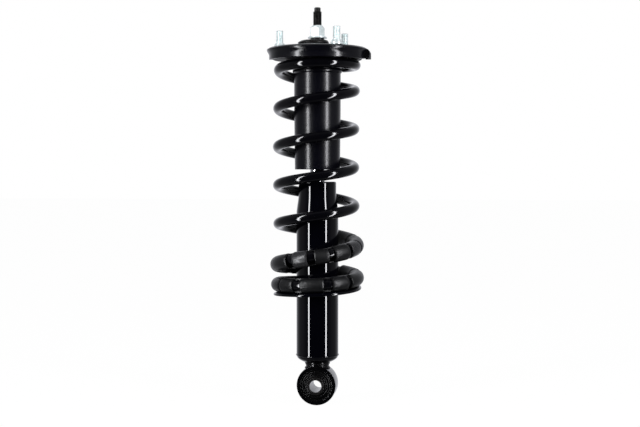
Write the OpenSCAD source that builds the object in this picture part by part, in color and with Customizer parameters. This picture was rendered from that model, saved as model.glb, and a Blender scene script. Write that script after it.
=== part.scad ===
// Coil-over strut: twin-tube damper, coil spring, upper mount with studs, and a bushed lower eye.
// The origin is the centre of the lower eye. +Z runs up the piston rod and +Y along the eye.
// The strut stands at full extension. All sizes are in millimetres.

/* [Damper body] */
// Outer diameter of the reservoir tube
body_d = 57; // [56.5:0.1:57.5]
// Wall thickness of the reservoir tube
body_wall = 2; // [1.8:0.1:2]
// Height of the tube's lower edge above the eye centre
body_bottom_z = 41; // [41:0.5:42]
// Height of the tube's closed top
body_top_z = 275.5; // [275.5:0.5:278]
// Outer diameter of the tube's drawn-in neck
neck_d = 51.2; // [50.4:0.1:51.4]
// Height where the tube begins to draw in
shoulder_z = 235; // [233:0.5:240]
// Height where the neck begins
neck_z = 256; // [254:0.5:260]

/* [Lower eye] */
// Outer diameter of the eye ring
eye_d = 53; // [52:0.5:54]
// Wall thickness of the eye ring
eye_wall = 5; // [4.5:0.1:5]
// Length of the eye ring
eye_length = 30; // [29:0.5:32]
// Outer diameter of the bush's inner sleeve
inner_sleeve_d = 24; // [23:0.5:24]
// Length of the bush's inner sleeve
inner_sleeve_length = 44; // [42:0.5:46]
// Bore for the mounting bolt
bolt_bore_d = 16.2; // [16.1:0.1:16.4]

/* [Piston rod] */
// Diameter of the chromed rod
rod_d = 20; // [19.9:0.1:20]
// Diameter of the threaded top of the rod
rod_thread_d = 12; // [12:0.1:12]
// Height of the rod's tip above the eye centre
rod_tip_z = 512.5; // [511:0.5:514]

/* [Coil spring] */
// Wire diameter
wire_d = 14; // [13.5:0.1:14]
// Mean coil radius at the bottom
coil_bottom_r = 53.6; // [53:0.1:54]
// Mean coil radius of the upper turns
coil_top_r = 51.9; // [51.5:0.1:52]
// Height of the wire's centre on the -X side of the lowest turn
coil_start_z = 135.6; // [135:0.1:136]
// Rise per turn of the closed lower end
closed_pitch = 13; // [12:0.5:14]
// Rise per turn of the active coils
active_pitch = 52.2; // [52:0.1:52.2]
// Diameter of the rubber hose on the lowest turn
lower_hose_d = 19.5; // [19:0.1:19.8]
// Diameter of the looser hose on the turn above it
upper_hose_d = 21.5; // [21:0.1:22]

/* [Dust tube] */
// Outer diameter of the dust tube below its bead
dust_d = 63.5; // [63.3:0.1:63.8]
// Outer diameter of its lower edge
dust_mouth_d = 61.4; // [61.2:0.1:63.5]
// Height of the dust tube's open lower edge
dust_bottom_z = 292; // [288:1:300]

/* [Upper mount] */
// Height of the mount plate's top face
plate_top_z = 457.5; // [457.5:0.5:458]
// Thickness of the mount plate
plate_t = 3.4; // [3:0.1:3.4]
// Outer radius of the mount's brim
brim_r = 69; // [68.6:0.1:69.2]
// Outer radius of the cup's rim
rim_r = 65.8; // [65.6:0.1:66]

/* [Studs] */
// Stud thread diameter
stud_d = 10; // [9.5:0.1:10]
// Diameter of the stud circle
stud_circle_d = 112; // [111:0.5:112]
// How far the stud circle's centre stands off the rod towards +X
stud_offset = 4; // [3:0.5:4]
// Height of the stud tips
stud_tip_z = 481.5; // [480:0.5:484]

/* [Hidden] */
$fn = 96;

// Clearances
cut = 1;
press_gap = 0.02;
slip_gap = 0.05;
run_gap = 0.03;

// Damper body
body_r = body_d / 2;
body_in_r = body_r - body_wall;
neck_r = neck_d / 2;
neck_in_r = neck_r - body_wall;
top_lip_t = 2.5;
top_lip_in_r = 14;
cap_flat_r = 17;
cap_corner_r = body_r - cap_flat_r;
cap_in_corner_r = 8.1;
cap_bottom_z = body_bottom_z - cap_corner_r;
cap_floor_z = body_bottom_z - cap_in_corner_r;
cap_spigot_h = 6;

// Lower eye and bush
eye_r = eye_d / 2;
eye_in_r = eye_r - eye_wall;
eye_neck_r = 13.5;
bolt_bore_r = bolt_bore_d / 2;
inner_sleeve_r = inner_sleeve_d / 2;
bore_chamfer = 0.7;

// Pressure tube, foot valve and rod guide
tube_r = 17.5;
tube_in_r = 16;
tube_bottom_z = body_bottom_z + 9;
guide_z = body_top_z - 19.5;
guide_spigot_h = 6;
guide_flange_h = 10;
guide_bore_r = 11.55;
valve_foot_r = 14.5;
valve_bolt_r = 3;

// Rod and piston
rod_r = rod_d / 2;
thread_r = rod_thread_d / 2;
rod_shoulder_z = 441;
piston_shoulder_z = 210;
rod_bottom_z = 183;
piston_h = 12;
piston_top_z = piston_shoulder_z - 2;
piston_r = tube_in_r - 0.5;
shim_r = 13;
rebound_top_z = guide_z - guide_spigot_h - 0.4;
tip_r = 4.35;
tip_h = 5.5;
tip_flat = 7;

// Coil spring. Turns are counted from the -X side of the lowest turn, rising anticlockwise.
wire_r = wire_d / 2;
first_turn = -0.3;
last_turn = 6.65;
closed_turns = 0.2;
pitch_ramp = 0.81;
ramp_end = closed_turns + pitch_ramp;
top_ramp_start = 5.97;
top_ramp = 0.42;
taper_start = 1.2;
taper_turns = 1;
coil_bow = 1.9;
bow_start = 1;
bow_turns = 5.5;
coil_tilt = 0.8;
tilt_start = 1.2;
wire_sides = 12;
rings_per_turn = 40;
hose_sides = 12;
lower_hose_turns = [-0.25, 0.66];
lower_hose_in_r = wire_r + 0.5;
upper_hose_turns = [0.76, 1.72];
upper_hose_sag = 2;
upper_hose_in_r = wire_r + upper_hose_sag + 0.3;
sag_turns = 0.24;

// Lower spring seat, measured down from the wire's centre
seat_in_r = body_r + 0.1;
seat_out_r = 59.8;
seat_turns = [-0.3, 0.66];
seat_rings_per_turn = 72;
seat_face = -10;
seat_t = 3;
seat_lip = -14.8;
seat_collar = -15.8;

// Dust tube and bump stop
dust_r = dust_d / 2;
dust_wall = 1.5;
dust_in_r = dust_r - dust_wall;
dust_mouth_r = dust_mouth_d / 2;
dust_taper_z = 376;
dust_top_z = 430.5;
bead_z = 426;
bead_tube_r = 3.2;
bead_centre_r = dust_r - 1.15;
bump_bottom_z = 380;
bump_top_z = 428.1;
bump_in_r = rod_r + 0.6;

// Upper mount
plate_bottom_z = plate_top_z - plate_t;
cup_floor_z = 448;
cup_floor_t = 2.5;
cup_bottom_z = 440.5;
rim_slant = 4.9;
rim_slant_z = 442;
tab_reach = 72.2;
tab_bottom_z = 442;
hub_r = 36;
hub_in_r = 33.5;
hub_hole_r = 12.5;
wire_top_z = wire_z(last_turn) + wire_r;
insulator_z = wire_top_z + 0.3;
cushion_r = 22;
cushion_top_z = plate_top_z + 6;
centre_sleeve_r = 8;
retainer_r = 21.3;
retainer_t = 3;
retainer_offset = -5.5;
lower_retainer_r = 21;
plate_hole_r = 13;
collar_z = cushion_top_z + 4.5;
nut_z = collar_z + 2.5;
nut_top_z = nut_z + 17.5;
nut_corner_r = 10.4;
nut_flange_r = 13.4;
collar_r = 9.4;

// Studs
stud_r = stud_d / 2;
stud_collar_r = 6.5;
stud_foot_r = 8.2;
stud_collar_z = plate_top_z + 6.5;
stud_neck_r = 5.5;
stud_head_r = 6;
stud_head_z = 450.3;
stud_angles = [180, 60, -60];

black_gloss = "#0b0b0e";
black_satin = "#17171b";
black_rubber = "#1b1b1c";
zinc = "#c9d6d4";
chrome_steel = "#c4c6ca";
plain_steel = "#8d9095";

// ---- Shared shapes ----

// A plain ring about the Z axis
module ring(r_out, r_in, z0, z1) {
    difference() {
        translate([0, 0, z0]) cylinder(r = r_out, h = z1 - z0);
        translate([0, 0, z0 - cut]) cylinder(r = r_in, h = z1 - z0 + 2 * cut);
    }
}

// A solid turned from points given as [radius, height]
module turned(points) {
    rotate_extrude() polygon(points);
}

// Points of an arc, given as [radius, height], between two angles
function arc(centre, r, a0, a1, steps) = [
    for (i = [0:steps])
        let (a = a0 + (a1 - a0) * i / steps)
            [centre[0] + r * cos(a), centre[1] + r * sin(a)]
];

// Height of the wire's centre after t turns
function ramp_rise(u) = (active_pitch - closed_pitch) * u * u / (2 * pitch_ramp);
function active_z(t) =
    coil_start_z + closed_pitch * ramp_end + ramp_rise(pitch_ramp) + active_pitch * (t - ramp_end);
function top_rise(u) = active_pitch * u * (1 - u / (2 * top_ramp));
function wire_z(t) =
    t <= ramp_end ? coil_start_z + closed_pitch * t + ramp_rise(max(0, t - closed_turns)) :
    t <= top_ramp_start ? active_z(t) + tilt_z(t) :
    active_z(top_ramp_start) + top_rise(min(t - top_ramp_start, top_ramp)) + tilt_z(t);

// A blend from 0 to 1 as t goes from a to a + width
function blend(t, a, width) = 0.5 - 0.5 * cos(180 * min(1, max(0, (t - a) / width)));

// Mean radius and angle of the coil after t turns
function coil_r(t) = coil_bottom_r + (coil_top_r - coil_bottom_r) * blend(t, taper_start, taper_turns);
function coil_angle(t) = 180 + 360 * t;

// The free turns dip a little towards +X, and bow a little towards -X
function tilt_z(t) = -coil_tilt * cos(coil_angle(t)) * blend(t, tilt_start, 1);
function bow_x(t) = -coil_bow * max(0, sin(180 * min(1, (t - bow_start) / bow_turns)));
function coil_slope(t) = atan((wire_z(t + 0.01) - wire_z(t - 0.01)) / (0.02 * 2 * PI * coil_r(t)));

// A point at r and angle a in the wire's cross-section, which stands square to the coil
function wire_point(t, r, a) =
    let (
        turn = coil_angle(t),
        out = coil_r(t) + r * cos(a),
        along = -r * sin(a) * sin(coil_slope(t)),
        up = r * sin(a) * cos(coil_slope(t))
    )
    [
        bow_x(t) + out * cos(turn) - along * sin(turn),
        out * sin(turn) + along * cos(turn),
        wire_z(t) + up
    ];
function wire_ring(t, r, sides) = [for (i = [0:sides - 1]) wire_point(t, r, 360 * i / sides)];
function turn_steps(span, rate) = ceil((span[1] - span[0]) * rate);
function turn_at(span, rate, i) = span[0] + (span[1] - span[0]) * i / turn_steps(span, rate);

// A closed solid swept through rings of points, all with the same number of points
module swept(rings) {
    n = len(rings[0]);
    last = len(rings) - 1;
    sides = [
        for (i = [0:last - 1], j = [0:n - 1])
            let (k = (j + 1) % n)
                [i * n + j, i * n + k, (i + 1) * n + k, (i + 1) * n + j]
    ];
    start_cap = [for (j = [n - 1:-1:0]) j];
    end_cap = [for (j = [0:n - 1]) last * n + j];
    polyhedron(points = [for (r = rings) each r], faces = concat(sides, [start_cap, end_cap]));
}

// A hose round the wire between two turns, closed by flat rings at its ends, that sags below the wire
module hose(span, r_out, r_in, sag) {
    n = hose_sides;
    last = turn_steps(span, rings_per_turn);
    rings = [
        for (i = [0:last])
            let (t = turn_at(span, rings_per_turn, i), drop = [0, 0, -sag * blend(t, span[0], sag_turns)])
                [for (p = concat(wire_ring(t, r_out, n), wire_ring(t, r_in, n))) p + drop]
    ];
    outer = [
        for (i = [0:last - 1], j = [0:n - 1])
            let (a = 2 * n * i, b = a + 2 * n, k = (j + 1) % n)
                each [[a + j, b + k, b + j], [a + j, a + k, b + k]]
    ];
    inner = [
        for (i = [0:last - 1], j = [0:n - 1])
            let (a = 2 * n * i + n, b = a + 2 * n, k = (j + 1) % n)
                each [[a + k, b + j, b + k], [a + k, a + j, b + j]]
    ];
    start_cap = [for (j = [0:n - 1]) let (k = (j + 1) % n) [j, n + j, n + k, k]];
    end = 2 * n * last;
    end_cap = [for (j = [0:n - 1]) let (k = (j + 1) % n) [end + k, end + n + k, end + n + j, end + j]];
    polyhedron(points = [for (r = rings) each r], faces = concat(outer, inner, start_cap, end_cap));
}

// A strip that follows the coil, with its section given as [radius, height below the wire]
module coil_strip(span, section) {
    swept([
        for (i = [0:turn_steps(span, seat_rings_per_turn)])
            let (t = turn_at(span, seat_rings_per_turn, i), turn = coil_angle(t))
                [for (p = section) [p[0] * cos(turn), p[0] * sin(turn), wire_z(t) + p[1]]]
    ]);
}

module at_studs() {
    for (a = stud_angles)
        translate([stud_offset + stud_circle_d / 2 * cos(a), stud_circle_d / 2 * sin(a), 0])
            children();
}

// ---- Damper body ----

// Outer tube with a drawn-in neck and a rolled-over top
module reservoir_tube() {
    corner_r = 1.5;
    outer = concat(
        [[body_r, body_bottom_z], [body_r, shoulder_z], [neck_r, neck_z]],
        arc([neck_r - corner_r, body_top_z - corner_r], corner_r, 0, 90, 6)
    );
    inner = [
        [top_lip_in_r, body_top_z],
        [top_lip_in_r, body_top_z - top_lip_t],
        [neck_in_r, body_top_z - top_lip_t],
        [neck_in_r, neck_z],
        [body_in_r, shoulder_z],
        [body_in_r, body_bottom_z]
    ];
    color(black_gloss) turned(concat(outer, inner));
}

// Pressed cap that closes the tube, with a weld lip round its rim
module base_cap() {
    lip_r = body_r + 0.75;
    spigot_r = body_in_r - slip_gap;
    spigot_in_r = spigot_r - 2.85;
    outer = arc([cap_flat_r, body_bottom_z], cap_corner_r, -90, -8, 12);
    inner = arc([spigot_in_r - cap_in_corner_r, body_bottom_z], cap_in_corner_r, 0, -90, 8);
    color(black_gloss) turned(concat(
        [[0, cap_bottom_z]],
        outer,
        [[lip_r, body_bottom_z - 1.4], [lip_r, body_bottom_z - 0.4], [lip_r - 0.4, body_bottom_z]],
        [[spigot_r, body_bottom_z], [spigot_r, body_bottom_z + cap_spigot_h]],
        [[spigot_in_r, body_bottom_z + cap_spigot_h]],
        inner,
        [[0, cap_floor_z]]
    ));
}

// Ring that holds the bush, with the short neck that meets the cap
module lower_eye() {
    color(black_gloss) difference() {
        union() {
            rotate([90, 0, 0]) cylinder(r = eye_r, h = eye_length, center = true);
            translate([0, 0, eye_in_r]) cylinder(r = eye_neck_r, h = cap_bottom_z - eye_in_r);
        }
        rotate([90, 0, 0]) cylinder(r = eye_in_r, h = eye_length + 2 * cut, center = true);
    }
}

// Weld that fills the corner between the eye ring and the cap
module eye_weld() {
    weld_bottom_z = 18;
    neck = eye_neck_r + press_gap;
    profile = [
        [neck, weld_bottom_z],
        [neck + 2.1, weld_bottom_z],
        [neck + 2.7, weld_bottom_z + 6],
        [neck + 4, cap_bottom_z],
        [neck, cap_bottom_z]
    ];
    color(black_gloss) difference() {
        intersection() {
            turned(profile);
            cube([4 * neck, eye_length, 4 * cap_bottom_z], center = true);
        }
        rotate([90, 0, 0])
            cylinder(r = eye_r + press_gap, h = eye_length + 2 * cut, center = true);
    }
}

// Rubber of the lower bush, with raised rings on both faces
module bush_rubber() {
    r_in = inner_sleeve_r + slip_gap;
    r_out = eye_in_r - press_gap;
    half = [
        [r_in, 18], [16, 18], [17.2, 15.6], [18, 14.2],
        [19.6, 14.2], [20.2, 15.4], [r_out, 15.4]
    ];
    mirrored = [for (i = [len(half) - 1:-1:0]) [half[i][0], -half[i][1]]];
    color(black_rubber) rotate([90, 0, 0]) turned(concat(half, mirrored));
}

// Steel sleeve through the bush, which takes the mounting bolt
module bush_sleeve() {
    half = inner_sleeve_length / 2;
    edge = 0.5;
    top = [
        [bolt_bore_r, half - bore_chamfer],
        [bolt_bore_r + bore_chamfer, half],
        [inner_sleeve_r - edge, half],
        [inner_sleeve_r, half - edge]
    ];
    mirrored = [for (i = [len(top) - 1:-1:0]) [top[i][0], -top[i][1]]];
    color(plain_steel) rotate([90, 0, 0]) turned(concat(top, mirrored));
}

// Stamped seat that follows the lowest turn, with a collar at the tube and a turned-down lip
module lower_spring_seat() {
    under = seat_face - seat_t;
    section = [
        [seat_in_r, seat_face],
        [seat_in_r, seat_collar],
        [seat_in_r + 2.8, seat_collar],
        [seat_in_r + 3, under - 2],
        [seat_in_r + 5, under],
        [seat_out_r - 6, under],
        [seat_out_r - 3.2, under - 1],
        [seat_out_r - 2.8, seat_lip],
        [seat_out_r, seat_lip],
        [seat_out_r, under - 0.5],
        [seat_out_r - 2, seat_face - 1],
        [seat_out_r - 5.5, seat_face]
    ];
    color(black_gloss) coil_strip(seat_turns, section);
}

// Weld under the seat's collar
module seat_weld() {
    bead = 2;
    section = [
        [seat_in_r, seat_collar - press_gap],
        [seat_in_r, seat_collar - bead],
        [seat_in_r + 0.9 * bead, seat_collar - press_gap]
    ];
    color(black_gloss) coil_strip(seat_turns, section);
}

// ---- Inside the damper ----

module pressure_tube() {
    color(plain_steel) ring(tube_r, tube_in_r, tube_bottom_z, guide_z);
}

// Foot valve: a ported disc with a slotted foot below it and a spigot in the pressure tube
module base_valve_body() {
    port_circle_r = 8.6;
    port_r = 1.6;
    foot_in_r = valve_foot_r - 3;
    color(plain_steel) difference() {
        union() {
            translate([0, 0, tube_bottom_z - 6]) cylinder(r = tube_r, h = 6);
            translate([0, 0, tube_bottom_z]) cylinder(r = tube_in_r - slip_gap, h = 6);
            ring(valve_foot_r, foot_in_r, cap_floor_z + slip_gap, tube_bottom_z - 5);
        }
        for (i = [0:7])
            rotate(45 * i) translate([port_circle_r, 0, tube_bottom_z - 6 - cut])
                cylinder(r = port_r, h = 12 + 2 * cut);
        for (a = [0, 90])
            rotate(a) translate([0, 0, cap_floor_z + 3])
                cube([3 * valve_foot_r, 6, 6.1], center = true);
        translate([0, 0, tube_bottom_z - 6 - cut])
            cylinder(r = valve_bolt_r + press_gap, h = 12 + 2 * cut);
    }
}

module base_valve_discs() {
    color(plain_steel) ring(12, valve_bolt_r + press_gap, tube_bottom_z + 6, tube_bottom_z + 7.2);
}

module base_valve_bolt() {
    head_z = tube_bottom_z + 7.2;
    nut_bottom_z = tube_bottom_z - 10;
    color(plain_steel) union() {
        translate([0, 0, head_z]) cylinder(r = 5, h = 3);
        translate([0, 0, nut_bottom_z]) cylinder(r = valve_bolt_r, h = head_z - nut_bottom_z);
        translate([0, 0, nut_bottom_z]) cylinder(r = 5.5, h = 4, $fn = 6);
    }
}

module rod_guide() {
    flange_r = neck_in_r - slip_gap;
    spigot_r = tube_in_r - slip_gap;
    color(plain_steel) turned([
        [guide_bore_r, guide_z - guide_spigot_h],
        [spigot_r, guide_z - guide_spigot_h],
        [spigot_r, guide_z],
        [flange_r - 3, guide_z],
        [flange_r, guide_z + 3],
        [flange_r, guide_z + guide_flange_h],
        [guide_bore_r, guide_z + guide_flange_h]
    ]);
}

module guide_bush() {
    color("#a8824a") ring(guide_bore_r - slip_gap, rod_r + run_gap,
        guide_z - guide_spigot_h + 1, guide_z + guide_flange_h - 1);
}

// Multi-lip seal clamped under the tube's rolled top
module rod_seal() {
    z0 = guide_z + guide_flange_h + slip_gap;
    z1 = body_top_z - top_lip_t - slip_gap;
    lip_r = rod_r + slip_gap;
    color(black_rubber) turned([
        [12.5, z0],
        [neck_in_r - slip_gap, z0],
        [neck_in_r - slip_gap, z1],
        [12.5, z1],
        [lip_r, z1 - 0.9],
        [lip_r, z1 - 1.9],
        [11.2, z1 - 3.4],
        [lip_r, z0 + 1.9],
        [lip_r, z0 + 0.9]
    ]);
}

// ---- Spring ----

module coil_spring() {
    span = [first_turn, last_turn];
    color(black_gloss) swept([
        for (i = [0:turn_steps(span, rings_per_turn)])
            wire_ring(turn_at(span, rings_per_turn, i), wire_r, wire_sides)
    ]);
}

module lower_hose() {
    color(black_rubber) hose(lower_hose_turns, lower_hose_d / 2, lower_hose_in_r, 0);
}

module upper_hose() {
    color(black_rubber) hose(upper_hose_turns, upper_hose_d / 2, upper_hose_in_r, upper_hose_sag);
}

// ---- Rod and piston ----

// Chromed rod with a spigot for the piston, a threaded top and two flats at the tip
module piston_rod() {
    edge = 0.8;
    tip_z = rod_tip_z - tip_h;
    color(chrome_steel) difference() {
        turned([
            [0, rod_bottom_z],
            [thread_r - edge, rod_bottom_z],
            [thread_r, rod_bottom_z + edge],
            [thread_r, piston_shoulder_z],
            [rod_r, piston_shoulder_z],
            [rod_r, rod_shoulder_z - edge],
            [rod_r - edge, rod_shoulder_z],
            [thread_r, rod_shoulder_z],
            [thread_r, tip_z - edge],
            [thread_r - edge, tip_z],
            [tip_r, tip_z],
            [tip_r, rod_tip_z - edge],
            [tip_r - edge, rod_tip_z],
            [0, rod_tip_z]
        ]);
        for (side = [-1, 1])
            translate([0, side * (tip_flat / 2 + tip_r), tip_z + tip_r])
                cube([3 * tip_r, 2 * tip_r, 2 * tip_r - 1], center = true);
    }
}

// Ported piston with a groove for its band
module piston() {
    band_z = piston_top_z - piston_h / 2;
    color(plain_steel) difference() {
        ring(piston_r, thread_r + press_gap, piston_top_z - piston_h, piston_top_z);
        ring(piston_r + cut, piston_r - 1, band_z - 3, band_z + 3);
        for (i = [0:5])
            rotate(60 * i) translate([10.2, 0, piston_top_z - piston_h - cut])
                cylinder(r = 1.8, h = piston_h + 2 * cut);
    }
}

module piston_band() {
    band_z = piston_top_z - piston_h / 2;
    color(black_rubber) ring(tube_in_r - run_gap, piston_r - 1 + slip_gap,
        band_z - 3 + slip_gap, band_z + 3 - slip_gap);
}

module upper_shims() {
    color(plain_steel) ring(shim_r, thread_r + press_gap, piston_top_z, piston_shoulder_z);
}

module lower_shims() {
    z1 = piston_top_z - piston_h;
    color(plain_steel) ring(shim_r, thread_r + press_gap, z1 - 2, z1);
}

module piston_nut() {
    z1 = piston_top_z - piston_h - 2;
    color(plain_steel) difference() {
        translate([0, 0, z1 - 9]) cylinder(r = 10.9, h = 9, $fn = 6);
        translate([0, 0, z1 - 9 - cut]) cylinder(r = thread_r + press_gap, h = 9 + 2 * cut);
    }
}

module rebound_stop() {
    color(plain_steel) ring(13, rod_r + press_gap, rebound_top_z - 16, rebound_top_z - 10);
}

module rebound_cushion() {
    edge = 1.5;
    z0 = rebound_top_z - 10;
    color(black_rubber) turned([
        [rod_r + slip_gap, z0],
        [13, z0],
        [13.5, z0 + edge],
        [13.5, rebound_top_z - edge],
        [13, rebound_top_z],
        [rod_r + slip_gap, rebound_top_z]
    ]);
}

// ---- Bump stop and dust tube ----

// Foam bump stop with three waists
module bump_stop() {
    waists = 3;
    r_out = 21;
    step = (bump_top_z - bump_bottom_z) / (waists + 1);
    side = [
        for (i = [0:waists - 1])
            let (z = bump_bottom_z + step * (i + 1))
                each [[r_out, z - 3], [r_out - 3.5, z - 1], [r_out - 3.5, z + 1], [r_out, z + 3]]
    ];
    color("#6b6a55") turned(concat(
        [[bump_in_r, bump_bottom_z], [bump_in_r + 4, bump_bottom_z], [r_out, bump_bottom_z + 4]],
        side,
        [[r_out, bump_top_z], [bump_in_r, bump_top_z]]
    ));
}

// Tube that shields the rod, closed at the top and rolled into a bead below the mount
module dust_tube() {
    bead_start = -acos((dust_r - bead_centre_r) / bead_tube_r);
    color(black_satin) turned(concat(
        [[dust_mouth_r - dust_wall, dust_bottom_z], [dust_mouth_r, dust_bottom_z], [dust_r, dust_taper_z]],
        arc([bead_centre_r, bead_z], bead_tube_r, bead_start, 90, 12),
        [[24, dust_top_z], [hub_hole_r, dust_top_z], [hub_hole_r, dust_top_z - 2.3]],
        [[dust_in_r - 1.7, dust_top_z - 2.3], [dust_in_r, dust_top_z - 4], [dust_in_r, dust_taper_z]]
    ));
}

// ---- Upper mount ----

// Drawn cup: hub, flat spring seat, flared brim, and a rim whose lower edge rises towards the back
module upper_seat_cup() {
    under_z = cup_floor_z - cup_floor_t;
    rim_in_r = rim_r - 2.4;
    below = 20;
    color(black_satin) difference() {
        turned(cup_outline(under_z, rim_in_r));
        intersection() {
            ring(rim_r + cut, rim_in_r - cut, cup_bottom_z - cut, under_z);
            translate([0, 0, rim_slant_z]) rotate([rim_slant, 0, 0])
                translate([0, 0, -below / 2]) cube([3 * rim_r, 3 * rim_r, below], center = true);
        }
    }
}

function cup_outline(under_z, rim_in_r) = [
    [hub_hole_r, dust_top_z],
    [hub_r - 1, dust_top_z],
    [hub_r, dust_top_z + 1],
    [hub_r, under_z],
    [rim_in_r, under_z],
    [rim_in_r, cup_bottom_z],
    [rim_r, cup_bottom_z],
    [rim_r, cup_floor_z - 1],
    [rim_r + 0.8, cup_floor_z + 1.5],
    [brim_r - 0.4, cup_floor_z + 4.5],
    [brim_r, plate_bottom_z - slip_gap],
    [brim_r - 2.2, plate_bottom_z - slip_gap],
    [brim_r - 2.7, cup_floor_z + 4.9],
    [rim_r - 1.4, cup_floor_z + 1.9],
    [rim_r - 1.9, cup_floor_z],
    [hub_in_r, cup_floor_z],
    [hub_in_r, dust_top_z + cup_floor_t],
    [hub_hole_r, dust_top_z + cup_floor_t]
];

// Rubber ring between the top coil and the cup
module spring_insulator() {
    under_z = cup_floor_z - cup_floor_t;
    wire_in_r = coil_top_r - coil_bow - wire_r;
    r_in = hub_r + slip_gap;
    color(black_rubber) turned([
        [r_in, under_z],
        [60.5, under_z],
        [60.5, insulator_z],
        [wire_in_r - 1, insulator_z],
        [wire_in_r - 1, insulator_z - 8],
        [wire_in_r - 2.5, insulator_z - 9.5],
        [r_in, insulator_z - 9.5]
    ]);
}

// Stamped top plate with a sloping shoulder
module mount_plate() {
    color(black_satin) difference() {
        turned([
            [plate_hole_r, plate_bottom_z],
            [brim_r - 0.2, plate_bottom_z],
            [brim_r, plate_bottom_z + 0.8],
            [brim_r - 4.1, plate_top_z],
            [plate_hole_r, plate_top_z]
        ]);
        at_studs() translate([0, 0, plate_bottom_z - cut])
            cylinder(r = stud_neck_r + slip_gap, h = plate_t + 2 * cut);
    }
}

// Folded tab that slopes down from the brim and sets the mount's direction
module locating_tab() {
    width = 24;
    wall = 2.5;
    inside_z = tab_bottom_z + 4.8;
    brim_z = plate_bottom_z - slip_gap;
    color(black_satin) difference() {
        translate([0, width / 2, 0]) rotate([90, 0, 0]) linear_extrude(width) polygon([
            [rim_r - 6, tab_bottom_z],
            [tab_reach, tab_bottom_z],
            [tab_reach, cup_floor_z + 2.2],
            [brim_r + 1, brim_z],
            [rim_r - 6, brim_z]
        ]);
        translate([rim_r - 6 - cut, -width / 2 + wall, tab_bottom_z - cut])
            cube([tab_reach - rim_r + 6 + cut - wall, width - 2 * wall, inside_z - tab_bottom_z + cut]);
        translate([0, 0, tab_bottom_z - cut]) cylinder(r = rim_r + slip_gap, h = 20);
        turned([
            [0, cup_floor_z - 1],
            [rim_r + slip_gap, cup_floor_z - 1],
            [rim_r + 0.8 + 2 * slip_gap, cup_floor_z + 1.5],
            [brim_r - 0.4 + 2 * slip_gap, cup_floor_z + 4.5],
            [brim_r + 2 * slip_gap, brim_z],
            [brim_r + 2 * slip_gap, brim_z + cut],
            [0, brim_z + cut]
        ]);
    }
}

// Three pressed-in studs, each with a head below the plate and a collar above it
module mount_studs() {
    edge = 0.8;
    color(zinc) at_studs() turned([
        [0, stud_head_z],
        [stud_head_r, stud_head_z],
        [stud_head_r, plate_bottom_z - slip_gap],
        [stud_neck_r, plate_bottom_z - slip_gap],
        [stud_neck_r, plate_top_z],
        [stud_foot_r, plate_top_z],
        [stud_foot_r, plate_top_z + 2.5],
        [stud_collar_r, stud_collar_z],
        [stud_r, stud_collar_z],
        [stud_r, stud_tip_z - edge],
        [stud_r - edge, stud_tip_z],
        [0, stud_tip_z]
    ]);
}

module lower_retainer() {
    color(plain_steel) ring(lower_retainer_r, thread_r + slip_gap, rod_shoulder_z,
        rod_shoulder_z + retainer_t);
}

// Rubber cushion below the plate, with a spigot in the plate's hole
module lower_cushion() {
    z0 = rod_shoulder_z + retainer_t;
    bore_r = centre_sleeve_r + slip_gap;
    spigot_r = plate_hole_r - 0.2;
    color(black_rubber) turned([
        [bore_r, z0],
        [cushion_r - 1, z0],
        [cushion_r, z0 + 2],
        [cushion_r, plate_bottom_z - 2],
        [cushion_r - 1, plate_bottom_z - slip_gap],
        [spigot_r, plate_bottom_z - slip_gap],
        [spigot_r, plate_bottom_z + plate_t / 2],
        [bore_r, plate_bottom_z + plate_t / 2]
    ]);
}

module centre_sleeve() {
    color(plain_steel) ring(centre_sleeve_r, thread_r + slip_gap, rod_shoulder_z + retainer_t,
        cushion_top_z);
}

// Rubber cushion above the plate, with its pad off centre towards -X
module upper_cushion() {
    spigot_r = plate_hole_r - 0.2;
    spigot_z = plate_top_z - plate_t / 2 + slip_gap;
    pad_z = plate_top_z + slip_gap;
    color(black_rubber) difference() {
        union() {
            translate([retainer_offset, 0, 0]) turned([
                [0, pad_z],
                [cushion_r - 1.5, pad_z],
                [cushion_r - 0.5, plate_top_z + 2],
                [cushion_r - 0.5, cushion_top_z - 2],
                [cushion_r - 1.5, cushion_top_z],
                [0, cushion_top_z]
            ]);
            translate([0, 0, spigot_z]) cylinder(r = spigot_r, h = pad_z - spigot_z + cut);
        }
        translate([0, 0, spigot_z - cut])
            cylinder(r = centre_sleeve_r + slip_gap, h = cushion_top_z - spigot_z + 2 * cut);
    }
}

// Dished washer on the upper cushion, off centre like the pad below it
module upper_retainer() {
    color(black_satin) difference() {
        translate([retainer_offset, 0, 0]) turned([
            [0, cushion_top_z],
            [retainer_r, cushion_top_z],
            [retainer_r, cushion_top_z + 1.7],
            [15, collar_z],
            [0, collar_z]
        ]);
        translate([0, 0, cushion_top_z - cut])
            cylinder(r = thread_r + slip_gap, h = collar_z - cushion_top_z + 2 * cut);
    }
}

module clamp_collar() {
    color(black_satin) ring(collar_r, thread_r + slip_gap, collar_z, nut_z);
}

// Flange nut with a cone at its top
module top_nut() {
    hex_z = nut_z + 2;
    cone_h = 6;
    cone_top_r = 7;
    color(zinc) difference() {
        union() {
            turned([
                [0, nut_z],
                [nut_flange_r, nut_z],
                [nut_flange_r, nut_z + 1.2],
                [nut_corner_r - 0.5, nut_z + 3.2],
                [0, nut_z + 3.2]
            ]);
            intersection() {
                translate([0, 0, hex_z]) cylinder(r = nut_corner_r, h = nut_top_z - hex_z, $fn = 6);
                turned([
                    [0, hex_z],
                    [nut_corner_r + 1, hex_z],
                    [nut_corner_r + 1, nut_top_z - cone_h],
                    [cone_top_r, nut_top_z],
                    [0, nut_top_z]
                ]);
            }
        }
        translate([0, 0, nut_z - cut])
            cylinder(r = thread_r + slip_gap, h = nut_top_z - nut_z + 2 * cut);
    }
}

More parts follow.
